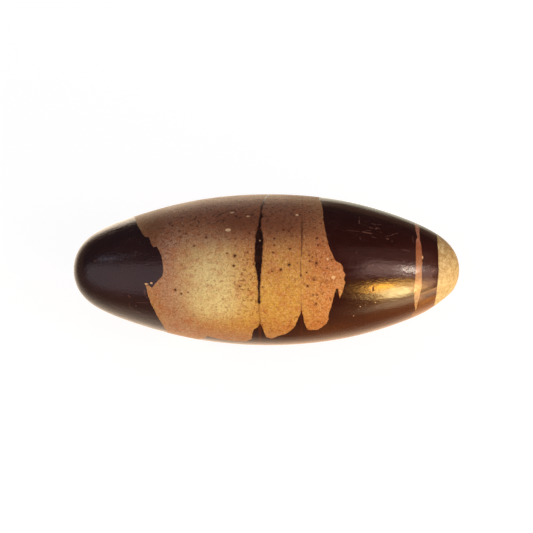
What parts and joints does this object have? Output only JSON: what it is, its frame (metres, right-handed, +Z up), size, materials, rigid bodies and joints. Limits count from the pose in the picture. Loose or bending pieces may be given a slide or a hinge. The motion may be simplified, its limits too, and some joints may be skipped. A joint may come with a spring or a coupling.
{
  "type": "river pebble",
  "caption": "Long rounded river pebble, rubbed to a satin polish, with dark maroon ends and a tan middle, lying on its worn underside.",
  "frame": {"origin": "middle of the stone's box at the level of the worn flat that it rests on", "axes": "+X along the stone towards its tan-tipped end, +Y across it, away from the side that the picture shows from above, +Z up"},
  "size_m": [0.1, 0.0396, 0.0381],
  "materials": {
    "polished_stone": "satin"
  },
  "bodies": {
    "root": {"pebble": "polished_stone"}
  },
  "joints": []
}
